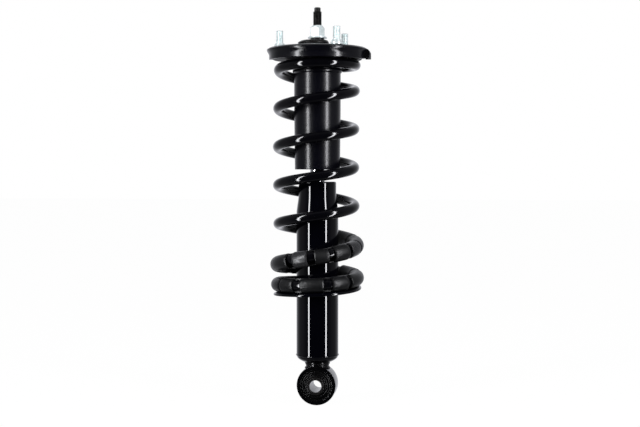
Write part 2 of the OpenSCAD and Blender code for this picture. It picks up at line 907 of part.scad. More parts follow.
reservoir_tube();
base_cap();
lower_eye();
eye_weld();
bush_rubber();
bush_sleeve();
lower_spring_seat();
seat_weld();
pressure_tube();
base_valve_body();
base_valve_discs();
base_valve_bolt();
rod_guide();
guide_bush();
rod_seal();
coil_spring();
lower_hose();
upper_hose();
piston_rod();
piston();
piston_band();
upper_shims();
lower_shims();
piston_nut();
rebound_stop();
rebound_cushion();
bump_stop();
dust_tube();
upper_seat_cup();
spring_insulator();
mount_plate();
locating_tab();
mount_studs();
lower_retainer();
lower_cushion();
centre_sleeve();
upper_cushion();
upper_retainer();
clamp_collar();
top_nut();
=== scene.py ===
"""Looks of the coil-over strut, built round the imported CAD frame.

Sizes are written in millimetres and turned into metres by MM when a mesh is made. The axis of the
strut is Z, the lower eye's bolt runs along Y, and the origin is the centre of the lower eye.
"""

import math

import bmesh
import bpy
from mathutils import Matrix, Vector, noise


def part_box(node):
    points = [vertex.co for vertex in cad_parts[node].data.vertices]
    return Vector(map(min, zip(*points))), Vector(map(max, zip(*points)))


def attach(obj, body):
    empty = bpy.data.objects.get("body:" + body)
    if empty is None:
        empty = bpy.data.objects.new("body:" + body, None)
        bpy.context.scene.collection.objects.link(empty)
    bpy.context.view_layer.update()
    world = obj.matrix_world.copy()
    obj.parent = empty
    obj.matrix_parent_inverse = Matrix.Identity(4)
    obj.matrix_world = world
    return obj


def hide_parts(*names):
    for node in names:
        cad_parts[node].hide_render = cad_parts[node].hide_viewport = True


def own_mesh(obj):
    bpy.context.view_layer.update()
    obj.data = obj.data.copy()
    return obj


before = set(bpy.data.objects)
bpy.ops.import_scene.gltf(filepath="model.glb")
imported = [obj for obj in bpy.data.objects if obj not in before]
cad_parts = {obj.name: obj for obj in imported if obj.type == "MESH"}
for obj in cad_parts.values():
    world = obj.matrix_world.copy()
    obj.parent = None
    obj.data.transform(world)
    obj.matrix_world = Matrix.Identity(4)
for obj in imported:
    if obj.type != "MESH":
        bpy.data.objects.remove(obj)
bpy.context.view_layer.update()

MM = 0.001
BODY = "damper_body"
TOP = "rod_and_mount"
BUSH = "bush_inner"


def node_box(node):
    """A CAD node's lowest and highest corners, in millimetres."""
    low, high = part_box(node)
    return [c / MM for c in low], [c / MM for c in high]


# ---------------------------------------------------------------- camera, light and floor

CAMERA_TURN = math.radians(7.5)
CAMERA_DISTANCE = 1.73
CAMERA_HEIGHT = 0.2913
TOWARDS_CAMERA = Vector((math.sin(CAMERA_TURN), -math.cos(CAMERA_TURN), 0))


def make_camera():
    data = bpy.data.cameras.new("camera")
    data.lens = 71.44
    data.sensor_width = 36
    data.shift_x = 0.004
    data.shift_y = -0.068
    data.clip_start = 0.05
    data.clip_end = 60
    camera = bpy.data.objects.new("camera", data)
    camera.location = TOWARDS_CAMERA * CAMERA_DISTANCE + Vector((0, 0, CAMERA_HEIGHT))
    camera.rotation_euler = (math.radians(90), 0, CAMERA_TURN)
    bpy.context.collection.objects.link(camera)
    bpy.context.scene.camera = camera


def softbox(name, turn, distance, height, width, length, watts, colour, aim=0.22, mirrored=True):
    """A rectangular lamp at an angle from the camera's own direction, aimed at the strut.

    A lamp that isn't mirrored lights matt surfaces only, as a wide soft fill does.
    """
    data = bpy.data.lights.new(name, "AREA")
    data.shape = "RECTANGLE"
    data.size = width
    data.size_y = length
    data.energy = watts
    data.color = colour
    lamp = bpy.data.objects.new(name, data)
    angle = CAMERA_TURN + math.radians(turn)
    lamp.location = (distance * math.sin(angle), -distance * math.cos(angle), height)
    down = Vector((0, 0, aim)) - lamp.location
    lamp.rotation_euler = down.to_track_quat("-Z", "Y").to_euler()
    lamp.visible_camera = False
    lamp.visible_glossy = mirrored
    bpy.context.collection.objects.link(lamp)


def make_world():
    """A white room for the camera.

    For reflections it is dark in front, grey at the sides and white behind.
    """
    world = bpy.data.worlds.new("studio")
    bpy.context.scene.world = world
    world.use_nodes = True
    nodes, links = world.node_tree.nodes, world.node_tree.links
    nodes.clear()
    where = nodes.new("ShaderNodeTexCoord")
    facing = nodes.new("ShaderNodeVectorMath")
    facing.operation = "DOT_PRODUCT"
    facing.inputs[1].default_value = TOWARDS_CAMERA
    spread = nodes.new("ShaderNodeMapRange")
    spread.inputs["From Min"].default_value = -1
    ramp = nodes.new("ShaderNodeValToRGB")
    steps = (
        (0.0, 1.0), (0.04, 0.9), (0.12, 0.45), (0.30, 0.17), (0.55, 0.15), (0.74, 0.06),
        (0.84, 0.004), (1.0, 0.004),
    )
    for place, grey in steps[1:-1]:
        ramp.color_ramp.elements.new(place)
    for stop, (place, grey) in zip(ramp.color_ramp.elements, steps):
        stop.color = (grey * 0.93, grey * 0.94, grey, 1)
    seen = nodes.new("ShaderNodeLightPath")
    reflected = nodes.new("ShaderNodeBackground")
    white = nodes.new("ShaderNodeBackground")
    white.inputs["Color"].default_value = (1, 1, 1, 1)
    mix = nodes.new("ShaderNodeMixShader")
    out = nodes.new("ShaderNodeOutputWorld")
    links.new(where.outputs["Generated"], facing.inputs[0])
    links.new(facing.outputs["Value"], spread.inputs["Value"])
    links.new(spread.outputs["Result"], ramp.inputs["Fac"])
    links.new(ramp.outputs["Color"], reflected.inputs["Color"])
    links.new(seen.outputs["Is Camera Ray"], mix.inputs["Fac"])
    links.new(reflected.outputs["Background"], mix.inputs[1])
    links.new(white.outputs["Background"], mix.inputs[2])
    links.new(mix.outputs["Shader"], out.inputs["Surface"])


def make_floor():
    half, gap = 12, 0.0004
    mesh = bpy.data.meshes.new("floor")
    z = node_box("lower_eye")[0][2] * MM - gap
    corners = [(-half, -half, z), (half, -half, z), (half, half, z), (-half, half, z)]
    mesh.from_pydata(corners, [], [(0, 1, 2, 3)])
    floor = bpy.data.objects.new("floor", mesh)
    bpy.context.collection.objects.link(floor)
    floor.visible_glossy = False
    floor.visible_diffuse = False
    material, _, _, shader = new_material("floor_paper")
    shader.inputs["Base Color"].default_value = (0.02, 0.02, 0.02, 1)
    shader.inputs["Specular IOR Level"].default_value = 0.0
    shader.inputs["Roughness"].default_value = 0.9
    shader.inputs["Emission Color"].default_value = (1, 1, 1, 1)
    shader.inputs["Emission Strength"].default_value = 0.985
    mesh.materials.append(material)


# ---------------------------------------------------------------- materials


def new_material(name):
    material = bpy.data.materials.new(name)
    material.use_nodes = True
    tree = material.node_tree
    return material, tree.nodes, tree.links, tree.nodes["Principled BSDF"]


def noise_node(nodes, links, scale, detail=3.0, stretch=(1, 1, 1)):
    """Noise over the object's own metres, drawn out along an axis by a small stretch."""
    where = nodes.new("ShaderNodeTexCoord")
    mapping = nodes.new("ShaderNodeMapping")
    mapping.inputs["Scale"].default_value = stretch
    grain = nodes.new("ShaderNodeTexNoise")
    grain.inputs["Scale"].default_value = scale
    grain.inputs["Detail"].default_value = detail
    links.new(where.outputs["Object"], mapping.inputs["Vector"])
    links.new(mapping.outputs["Vector"], grain.inputs["Vector"])
    return grain.outputs["Fac"]


def surface(
    name, dark, light, rough, metallic=0.0, patch=90.0, grain=900.0, depth=0.01, stretch=(1, 1, 1),
    coat=0.0, coat_rough=0.05, specular=0.5,
):
    """A procedural surface: patches of two colours, a range of roughness, and a fine raised grain.

    dark and light are the two colours, rough the lowest and highest roughness, patch and grain the
    sizes of the two noises, and depth the height of the grain in millimetres.
    """
    material, nodes, links, shader = new_material(name)
    patches = noise_node(nodes, links, patch, 4.0)
    colour = nodes.new("ShaderNodeMix")
    colour.data_type = "RGBA"
    colour.inputs["A"].default_value = (*dark, 1)
    colour.inputs["B"].default_value = (*light, 1)
    links.new(patches, colour.inputs["Factor"])
    links.new(colour.outputs["Result"], shader.inputs["Base Color"])
    scuffs = noise_node(nodes, links, patch * 2.7, 5.0, stretch)
    roughness = nodes.new("ShaderNodeMapRange")
    roughness.inputs["From Min"].default_value = 0.3
    roughness.inputs["From Max"].default_value = 0.7
    roughness.inputs["To Min"].default_value = rough[0]
    roughness.inputs["To Max"].default_value = rough[1]
    links.new(scuffs, roughness.inputs["Value"])
    links.new(roughness.outputs["Result"], shader.inputs["Roughness"])
    if depth:
        bump = nodes.new("ShaderNodeBump")
        bump.inputs["Distance"].default_value = depth * MM
        links.new(noise_node(nodes, links, grain, 2.0, stretch), bump.inputs["Height"])
        links.new(bump.outputs["Normal"], shader.inputs["Normal"])
    shader.inputs["Metallic"].default_value = metallic
    shader.inputs["Coat Weight"].default_value = coat
    shader.inputs["Coat Roughness"].default_value = coat_rough
    shader.inputs["Specular IOR Level"].default_value = specular
    return material


TURNED = (0.02, 0.02, 1.0)
GROUND = (1.0, 0.03, 1.0)
LOOKS = {
    "body_paint": surface(
        "body_paint", (0.0004, 0.0004, 0.0012), (0.0010, 0.0010, 0.0022), (0.045, 0.055),
        patch=20, depth=0,
    ),
    "spring_paint": surface(
        "spring_paint", (0.0006, 0.0006, 0.0012), (0.0018, 0.0018, 0.0026), (0.08, 0.13),
        patch=70, grain=400, depth=0.004,
    ),
    "dust_paint": surface(
        "dust_paint", (0.0006, 0.0006, 0.0020), (0.0016, 0.0016, 0.0035), (0.24, 0.27),
        patch=40, depth=0,
    ),
    "mount_paint": surface(
        "mount_paint", (0.0010, 0.0010, 0.0022), (0.0022, 0.0022, 0.0038), (0.19, 0.23),
        patch=60, depth=0,
    ),
    "tab_paint": surface(
        "tab_paint", (0.0004, 0.0004, 0.0005), (0.0010, 0.0010, 0.0012), (0.50, 0.60),
        patch=110, grain=1500, depth=0.004, specular=0.12,
    ),
    "cast_paint": surface(
        "cast_paint", (0.0006, 0.0006, 0.0009), (0.0014, 0.0014, 0.0018), (0.12, 0.18),
        patch=60, grain=500, depth=0.0008,
    ),
    "weld": surface(
        "weld", (0.0006, 0.0006, 0.0008), (0.0030, 0.0030, 0.0034), (0.28, 0.42),
        patch=120, grain=500, depth=0.003, specular=0.35,
    ),
    "hose_rubber": surface(
        "hose_rubber", (0.0026, 0.0027, 0.0030), (0.0052, 0.0054, 0.0058), (0.34, 0.46),
        patch=130, grain=1600, depth=0.012,
    ),
    # Painted sheen: a lighter copy of hose_rubber for the hose lengths that catch the light.
    "hose_painted_sheen": surface(
        "hose_painted_sheen", (0.010, 0.010, 0.011), (0.030, 0.030, 0.032), (0.24, 0.36),
        patch=170, grain=1200, depth=0.012,
    ),
    "bush_rubber": surface(
        "bush_rubber", (0.0010, 0.0010, 0.0011), (0.0028, 0.0028, 0.0030), (0.24, 0.30),
        patch=60, grain=700, depth=0.0008, specular=0.22,
    ),
    "cushion_rubber": surface(
        "cushion_rubber", (0.003, 0.003, 0.003), (0.008, 0.008, 0.008), (0.45, 0.62),
        patch=200, grain=1400, depth=0.05,
    ),
    "zinc": surface(
        "zinc", (0.78, 0.93, 0.94), (0.97, 0.99, 0.98), (0.18, 0.30), 0.55,
        patch=230, grain=1300, depth=0.004,
    ),
    "chromed_rod": surface(
        "chromed_rod", (0.70, 0.71, 0.73), (0.80, 0.81, 0.82), (0.04, 0.09), 1.0, 60, 1800, 0.002, TURNED
    ),
    # Steel darkened far below bare steel: painted shade for the inside of the bush's bore.
    "bore_steel_painted_shade": surface(
        "bore_steel_painted_shade", (0.03, 0.03, 0.03), (0.09, 0.09, 0.09), (0.16, 0.26),
        1.0, 180, 1200, 0.002, GROUND,
    ),
    "black_oxide": surface(
        "black_oxide", (0.004, 0.004, 0.004), (0.014, 0.013, 0.013), (0.22, 0.36), 0.3, 300, 1200, 0.02
    ),
    "plain_steel": surface(
        "plain_steel", (0.40, 0.41, 0.42), (0.58, 0.58, 0.59), (0.22, 0.38), 1.0, 120, 1500, 0.01, TURNED
    ),
    "bronze": surface(
        "bronze", (0.42, 0.27, 0.12), (0.60, 0.42, 0.20), (0.25, 0.4), 1.0, 200, 1500, 0.01, TURNED
    ),
    "band_plastic": surface(
        "band_plastic", (0.02, 0.02, 0.02), (0.04, 0.04, 0.04), (0.35, 0.5), patch=200
    ),
    "bump_foam": surface(
        "bump_foam", (0.16, 0.15, 0.10), (0.27, 0.26, 0.18), (0.6, 0.8), patch=500, grain=1400, depth=0.08
    ),
}


# ---------------------------------------------------------------- mesh tools


def make_piece(name, verts, faces, look, body, replaces=(), slot=None, sharp=35.0):
    """Turns points in millimetres and their faces into a smooth piece that rides on a body."""
    mesh = bpy.data.meshes.new(name)
    mesh.from_pydata([Vector(v) * MM for v in verts], [], faces)
    tidy = bmesh.new()
    tidy.from_mesh(mesh)
    bmesh.ops.remove_doubles(tidy, verts=tidy.verts, dist=0.0005 * MM)
    bmesh.ops.recalc_face_normals(tidy, faces=tidy.faces)
    tidy.to_mesh(mesh)
    tidy.free()
    mesh.polygons.foreach_set("use_smooth", [True] * len(mesh.polygons))
    mesh.set_sharp_from_angle(angle=math.radians(sharp))
    mesh.materials.append(LOOKS[look])
    piece = bpy.data.objects.new(name, mesh)
    bpy.context.collection.objects.link(piece)
    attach(piece, body)
    if replaces:
        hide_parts(*replaces)
    return piece


def rounded(corners, closed=True, steps=5):
    """Rounds an outline given as (radius, height, cut).

    cut is how far from the corner its curve begins.
    """
    out = []
    count = len(corners)
    for i, corner in enumerate(corners):
        here = Vector(corner[:2])
        cut = corner[2] if len(corner) > 2 else 0
        at_end = not closed and i in (0, count - 1)
        if cut == 0 or at_end:
            out.append(tuple(here))
            continue
        before = Vector(corners[i - 1][:2]) - here
        after = Vector(corners[(i + 1) % count][:2]) - here
        start = here + before.normalized() * min(cut, before.length * 0.48)
        end = here + after.normalized() * min(cut, after.length * 0.48)
        for k in range(steps + 1):
            t = k / steps
            out.append(tuple(start * (1 - t) ** 2 + here * 2 * t * (1 - t) + end * t * t))
    return out


def grid_faces(rows, columns, wrap_rows, wrap_columns=True):
    """Quads over a grid of rows by columns of points, joined round wherever it wraps."""
    faces = []
    for i in range(rows if wrap_rows else rows - 1):
        for j in range(columns if wrap_columns else columns - 1):
            below, beside = (i + 1) % rows, (j + 1) % columns
            faces.append(
                (i * columns + j, i * columns + beside, below * columns + beside, below * columns + j)
            )
    return faces


def turned(
    name, corners, look, body, closed=True, segments=144, shape=None, along="Z", centre=(0, 0),
    lean=None, **kw
):
    """A solid turned from an outline.

    shape(radius, height, angle) may change the radius there, and lean(radius) shifts a ring along X.
    """
    outline = rounded(corners, closed)
    verts = []
    for r, z in outline:
        for j in range(segments):
            angle = math.tau * j / segments
            reach = shape(r, z, angle) if shape else r
            across, up = reach * math.cos(angle), reach * math.sin(angle)
            if lean:
                across += lean(r)
            if along == "Z":
                verts.append((centre[0] + across, centre[1] + up, z))
            else:
                verts.append((across, z, up))
    return make_piece(name, verts, grid_faces(len(outline), segments, closed), look, body, **kw)


def swept_tube(name, path, radius, look, body, sides=20, swell=None, **kw):
    """A round bar along a path of points, closed at both ends. swell(i, angle) scales the radius."""
    verts, faces = [], []
    count = len(path)
    for i, point in enumerate(path):
        here = Vector(point)
        ahead = Vector(path[min(i + 1, count - 1)]) - Vector(path[max(i - 1, 0)])
        side = ahead.cross(Vector((0, 0, 1))).normalized()
        up = side.cross(ahead).normalized()
        for j in range(sides):
            angle = math.tau * j / sides
            reach = radius * (swell(i, angle) if swell else 1)
            verts.append(here + (side * math.cos(angle) + up * math.sin(angle)) * reach)
    faces = grid_faces(count, sides, False)
    faces.append(tuple(range(sides)))
    faces.append(tuple(range((count - 1) * sides, count * sides)))
    return make_piece(name, verts, faces, look, body, **kw)


# ---------------------------------------------------------------- the spring and what lies on it

WIRE_R = 7.0
COIL_BOTTOM_R, COIL_TOP_R, TAPER_START, TAPER_TURNS = 53.6, 51.9, 1.2, 1.0
COIL_BOW, BOW_START, BOW_TURNS = 1.9, 1.0, 5.5
COIL_TILT, TILT_START = 0.8, 1.2
COIL_START_Z = 135.6
CLOSED_PITCH, ACTIVE_PITCH = 13.0, 52.2
CLOSED_TURNS, PITCH_RAMP, TOP_RAMP_START, TOP_RAMP = 0.2, 0.81, 5.97, 0.42
FIRST_TURN, LAST_TURN = -0.3, 6.65
FREE_TURN = 0.765


def blend(t, start, width):
    """Rises smoothly from 0 to 1 as t goes from start to start + width."""
    return 0.5 - 0.5 * math.cos(math.pi * min(1, max(0, (t - start) / width)))


def wire_z(t):
    """Height of the wire's centre after t turns from the -X side of the lowest turn."""
    ramp_end = CLOSED_TURNS + PITCH_RAMP
    ramp = min(max(t - CLOSED_TURNS, 0), PITCH_RAMP)
    low = COIL_START_Z + CLOSED_PITCH * min(t, ramp_end)
    low += (ACTIVE_PITCH - CLOSED_PITCH) * ramp * ramp / (2 * PITCH_RAMP)
    straight = low + ACTIVE_PITCH * max(min(t, TOP_RAMP_START) - ramp_end, 0)
    u = min(max(t - TOP_RAMP_START, 0), TOP_RAMP)
    tilt = COIL_TILT * math.cos(math.tau * t) * blend(t, TILT_START, 1)
    return straight + ACTIVE_PITCH * u * (1 - u / (2 * TOP_RAMP)) + tilt


def coil_r(t):
    return COIL_BOTTOM_R + (COIL_TOP_R - COIL_BOTTOM_R) * blend(t, TAPER_START, TAPER_TURNS)


def bow_x(t):
    """How far the middle turns bow along X."""
    return -COIL_BOW * max(0, math.sin(math.pi * min(1, (t - BOW_START) / BOW_TURNS)))


def wire_point(t, r, angle):
    """A point at r and angle in the wire's own cross-section, where angle 0 points away from the axis."""
    turn = math.pi + math.tau * t
    slope = math.atan2(wire_z(t + 0.01) - wire_z(t - 0.01), 0.02 * math.tau * coil_r(t))
    out = coil_r(t) + r * math.cos(angle)
    along = -r * math.sin(angle) * math.sin(slope)
    up = r * math.sin(angle) * math.cos(slope)
    return (
        bow_x(t) + out * math.cos(turn) - along * math.sin(turn),
        out * math.sin(turn) + along * math.cos(turn),
        wire_z(t) + up,
    )


def crush(piece):
    """Gives the piece its own copy of its mesh; the free turns' anchor and height are worked out, but
    nothing flattens them.
    """
    anchor = wire_z(FREE_TURN)
    height = wire_z(LAST_TURN) + WIRE_R - anchor
    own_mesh(piece)


def make_wire(name, first, last, round_first, round_last):
    """A stretch of the spring wire, with a rounded edge at each cut end."""
    sides, rate, edge = 32, 96, 1.2
    count = round((last - first) * rate)
    rings = [(first + (last - first) * i / count, WIRE_R) for i in range(count + 1)]
    edge_turn = edge / (math.tau * COIL_TOP_R)
    if round_first:
        rings[0] = (first, WIRE_R - edge)
        rings.insert(1, (first + edge_turn, WIRE_R))
    if round_last:
        rings[-1] = (last - edge_turn, WIRE_R)
        rings.append((last, WIRE_R - edge))
    verts = [wire_point(t, r, math.tau * j / sides) for t, r in rings for j in range(sides)]
    faces = grid_faces(len(rings), sides, False)
    faces.append(tuple(range(sides)))
    faces.append(tuple(range((len(rings) - 1) * sides, len(rings) * sides)))
    return make_piece(name, verts, faces, "spring_paint", BODY, ("coil_spring",), "spring_coat")


def make_spring():
    """The closed turn lies on the seat, and the free turns above it are a piece of their own."""
    make_wire("spring_foot", FIRST_TURN, FREE_TURN, True, False)
    crush(make_wire("spring_wire", FREE_TURN, LAST_TURN, False, True))


HOSE_RATE, HOSE_SIDES = 160, 40
HOSE_NECK_R = 9.4
WINDOW_HALF_ANGLE = math.radians(82)
SAG_TURNS = 0.24
SECOND_LOOK = 1


def make_hose(name, lengths, inner_r, sag, node, neck_r=HOSE_NECK_R):
    """A rubber hose round the wire, cut into lengths that hang together on the side of the axis.

    Each length is (first turn, last turn, radius, sheen), and a window is open between two lengths. A
    length with sheen set gets painted sheen: a lighter, shinier rubber that stands in for the highlight
    it catches.
    """
    sides = HOSE_SIDES
    first, last = lengths[0][0], lengths[-1][1]
    count = round((last - first) * HOSE_RATE)
    turns = {first + (last - first) * i / count for i in range(count + 1)}
    edge = 0.8 / (math.tau * COIL_BOTTOM_R)
    for start, end, _, _ in lengths:
        turns = {t for t in turns if min(abs(t - start), abs(t - end)) > 2.4 * edge}
        turns |= {start, start + edge, start + 2 * edge, end - 2 * edge, end - edge, end}
    turns = sorted(turns)

    def length_at(t):
        return next((part for part in lengths if part[0] <= t <= part[1]), None)

    def reach(t):
        part = length_at(t)
        if not part:
            return neck_r
        away = min(t - part[0], part[1] - t) / edge
        return part[2] - 0.45 * math.exp(-(away ** 2)) + 0.15 * math.exp(-((away - 2.5) ** 2))

    outer, inner = [], []
    for t in turns:
        drop = Vector((0, 0, sag * blend(t, first, SAG_TURNS)))
        outer += [Vector(wire_point(t, reach(t), math.tau * j / sides)) - drop for j in range(sides)]
        inner += [Vector(wire_point(t, inner_r, math.tau * j / sides)) - drop for j in range(sides)]

    def is_cut(i, j):
        angle = (math.tau * (j + 0.5) / sides + math.pi) % math.tau - math.pi
        return not length_at((turns[i] + turns[i + 1]) / 2) and abs(angle) < WINDOW_HALF_ANGLE

    shift = len(outer)
    count = len(turns) - 1
    faces, painted_sheen_faces = [], []
    for i in range(count):
        for j in range(sides):
            if is_cut(i, j):
                continue
            k = (j + 1) % sides
            a, b, c, d = i * sides + j, i * sides + k, (i + 1) * sides + k, (i + 1) * sides + j
            part = length_at((turns[i] + turns[i + 1]) / 2)
            # part[3] marks a length drawn with painted sheen.
            if part and part[3]:
                painted_sheen_faces.append(len(faces))
            faces.append((a, b, c, d))
            faces.append((a + shift, d + shift, c + shift, b + shift))
            if i == 0 or is_cut(i - 1, j):
                faces.append((a, a + shift, b + shift, b))
            if i == count - 1 or is_cut(i + 1, j):
                faces.append((c, c + shift, d + shift, d))
            if is_cut(i, (j - 1) % sides):
                faces.append((d, d + shift, a + shift, a))
            if is_cut(i, k):
                faces.append((b, b + shift, c + shift, c))
    hose = make_piece(name, outer + inner, faces, "hose_rubber", BODY, (node,), "hose_rubber", sharp=50)
    hose.data.materials.append(LOOKS["hose_painted_sheen"])
    for i in painted_sheen_faces:
        hose.data.polygons[i].material_index = SECOND_LOOK
    return hose


LOWER_HOSE = [
    (-0.25, -0.02, 9.75, False), (-0.012, 0.113, 9.6, False), (0.120, 0.177, 9.75, False),
    (0.208, 0.292, 9.6, False), (0.325, 0.388, 9.75, False), (0.406, 0.54, 9.7, False),
    (0.565, 0.66, 9.75, False),
]
# A fourth field of True gives that length painted sheen.
UPPER_HOSE = [
    (0.76, 0.885, 10.4, False), (0.915, 1.02, 10.6, False), (1.026, 1.153, 10.4, False),
    (1.181, 1.236, 11.1, True), (1.262, 1.313, 10.2, False), (1.335, 1.394, 11.0, False),
    (1.408, 1.462, 10.7, True), (1.468, 1.56, 10.5, False), (1.585, 1.72, 10.5, False),
]


def make_hoses():
    """The lower hose fits the wire closely. The upper one is wider and sags below it."""
    make_hose("hose_low", LOWER_HOSE, inner_r=7.35, sag=0, node="lower_hose")
    crush(make_hose("hose_high", UPPER_HOSE, inner_r=9.1, sag=2, node="upper_hose", neck_r=9.9))


def make_seat():
    """The stamped seat below the lowest turn, its collar on the tube and its turned-down lip."""
    inner, outer, face, thick = 28.6, 59.8, -10.0, 3.0
    collar, lip = -15.8, -14.8
    section = rounded(
        [
            (inner, face, 0.6),
            (inner, collar, 0.5),
            (inner + 2.9, collar, 0.8),
            (inner + 2.9, face - thick, 1.6),
            (outer - 4.6, face - thick, 1.4),
            (outer - 2.9, lip, 0.8),
            (outer, lip, 1.1),
            (outer, face - 2.2, 1.2),
            (outer - 3.0, face, 2.6),
        ],
        steps=6,
    )
    first, last, rate = -0.3, 0.66, 150
    count = round((last - first) * rate)
    verts = []
    for i in range(count + 1):
        t = first + (last - first) * i / count
        turn = math.pi + math.tau * t
        verts += [(r * math.cos(turn), r * math.sin(turn), wire_z(t) + z) for r, z in section]
    faces = grid_faces(count + 1, len(section), False)
    faces.append(tuple(range(len(section))))
    faces.append(tuple(range(count * len(section), (count + 1) * len(section))))
    make_piece("seat_pan", verts, faces, "body_paint", BODY, ("lower_spring_seat",), "black_gloss")


def weld_swell(i, angle):
    """Ripples and lumps of a weld bead."""
    ripple = 0.06 * math.sin(i * 1.9) + 0.04 * math.sin(i * 0.63 + 1.3)
    lump = 0.12 * noise.noise(Vector((i * 0.31, math.cos(angle) * 1.4, math.sin(angle) * 1.4)))
    return 1 + ripple + lump


def make_seat_weld():
    """The bead between the seat's collar and the tube, which follows the seat round."""
    bead_r, centre_r, drop = 1.3, 29.4, 16.4
    path = []
    steps = 190
    for i in range(steps + 1):
        t = -0.295 + 0.95 * i / steps
        turn = math.pi + math.tau * t
        path.append((centre_r * math.cos(turn), centre_r * math.sin(turn), wire_z(t) - drop))
    swept_tube(
        "seat_weld_bead", path, bead_r, "weld", BODY, 14, weld_swell,
        replaces=("seat_weld",), slot="black_gloss",
    )


def make_eye_welds():
    """A bead that follows the eye's round side, and one against the cap."""
    eye_r, ring_r, half_width, cap_z = 26.5, 15.2, 13.6, 28.9
    saddle_bead_r, collar_bead_r = 1.9, 1.4
    saddle, collar = [], []
    steps = 96
    for i in range(steps + 1):
        angle = math.tau * i / steps
        x = ring_r * math.cos(angle)
        y = max(-half_width, min(half_width, ring_r * math.sin(angle)))
        saddle.append((x, y, math.sqrt(eye_r**2 - x * x) + 0.5))
        collar.append((1.02 * x, 1.02 * ring_r * math.sin(angle), cap_z))
    swept_tube(
        "eye_weld_bead", saddle, saddle_bead_r, "weld", BODY, 14, weld_swell,
        replaces=("eye_weld",), slot="black_gloss",
    )
    swept_tube(
        "cap_weld_bead", collar, collar_bead_r, "weld", BODY, 14, weld_swell, slot="black_gloss"
    )


# ---------------------------------------------------------------- damper body


def bead_shape(r, z, angle):
    """A weld bead's ripples on the part of the cap that stands out past the tube."""
    past_tube_r = 28.6
    if r < past_tube_r:
        return r
    return r + 0.10 * math.sin(angle * 58) + 0.08 * math.sin(angle * 23 + 1)


def make_body():
    turned(
        "reservoir",
        [
            (28.5, 41, 0.2), (28.5, 235, 2.5), (25.6, 256, 4), (25.6, 275.5, 2.2), (14, 275.5, 0.6),
            (14, 273, 0.4), (23.6, 273, 0.5), (23.6, 256, 4), (26.5, 235, 3), (26.5, 41, 0.2),
        ],
        "body_paint", BODY, segments=192, replaces=("reservoir_tube",), slot="black_gloss",
    )
    turned(
        "bottom_cap",
        [
            (0, 30), (17.5, 30, 5), (26.6, 35.0, 6), (28.5, 39.4, 1.0), (29.25, 39.7, 0.5),
            (29.25, 40.8, 0.5), (28.4, 41, 0.2), (26.4, 41, 0), (26.4, 47, 0.4), (23.6, 47, 0.4),
            (23.6, 41, 5), (15.5, 32.9, 4), (0, 32.9),
        ],
        "body_paint", BODY, closed=False, segments=192, shape=bead_shape,
        replaces=("base_cap",), slot="black_gloss",
    )


def make_eye():
    """The eye's ring and neck, its rubber bush, and the steel sleeve, whose bore is steel darkened with
    painted shade.
    """
    bore_edge_r = 8.3
    turned(
        "eye_ring",
        [(26.5, -15, 0.5), (26.5, 15, 0.5), (21.48, 15, 0.6), (21.48, -15, 0.6)],
        "cast_paint", BODY, segments=160, along="Y", replaces=("lower_eye",), slot="black_gloss",
    )
    turned(
        "eye_neck", [(0, 23.4), (14.9, 23.4, 0.2), (16.1, 26.0, 2.0), (16.6, 30.4, 0.3), (0, 30.4)],
        "cast_paint", BODY, closed=False, segments=64, slot="black_gloss",
    )
    face = [
        (12.06, 18.6, 0.4), (13.4, 18.6, 0.5), (13.9, 17.7, 0.4), (15.0, 17.7, 0.4), (15.6, 18.3, 0.5),
        (16.6, 18.1, 0.8), (17.4, 15.4, 1.2), (18.6, 14.0, 0.9), (19.9, 14.0, 0.6), (20.3, 15.3, 0.4),
        (21.46, 15.3, 0.4),
    ]
    turned(
        "bush", face + [(r, -y, cut) for r, y, cut in reversed(face)],
        "bush_rubber", BODY, segments=160, along="Y", replaces=("bush_rubber",), slot="black_rubber",
    )
    sleeve = [(8.1, 21.3, 0.1), (8.8, 22, 0.15), (11.5, 22, 0.3), (12.0, 21.5, 0.2)]
    # The bore keeps the darkened steel with its painted shade; the sleeve's ends and outside are black
    # oxide.
    core = turned(
        "bush_core", sleeve + [(r, -y, cut) for r, y, cut in reversed(sleeve)],
        "bore_steel_painted_shade", BUSH, segments=128, along="Y", replaces=("bush_sleeve",), slot="plain_steel",
    )
    core.data.materials.append(LOOKS["black_oxide"])
    for face in core.data.polygons:
        if math.hypot(face.center.x, face.center.z) > bore_edge_r * MM:
            face.material_index = SECOND_LOOK


# ---------------------------------------------------------------- threads, nut and studs


def thread_rows(z0, z1, pitch, step=8):
    """Heights of the rows of points that a thread needs."""
    count = max(2, round((z1 - z0) / pitch * step))
    return [z0 + (z1 - z0) * i / count for i in range(count + 1)]


def thread_radius(r, z, angle, pitch, z0, z1):
    """Radius of a right-handed thread of major radius r, which fades out near both ends."""
    phase = (z / pitch - angle / math.tau) % 1
    depth = 0.61 * pitch
    groove = min(1, max(0, 1.25 * abs(2 * phase - 1) - 0.12))
    fade = min(1, (z - z0) / (0.7 * pitch), (z1 - z) / (0.3 * pitch) + 0.35)
    return r - depth * groove * max(0, fade)


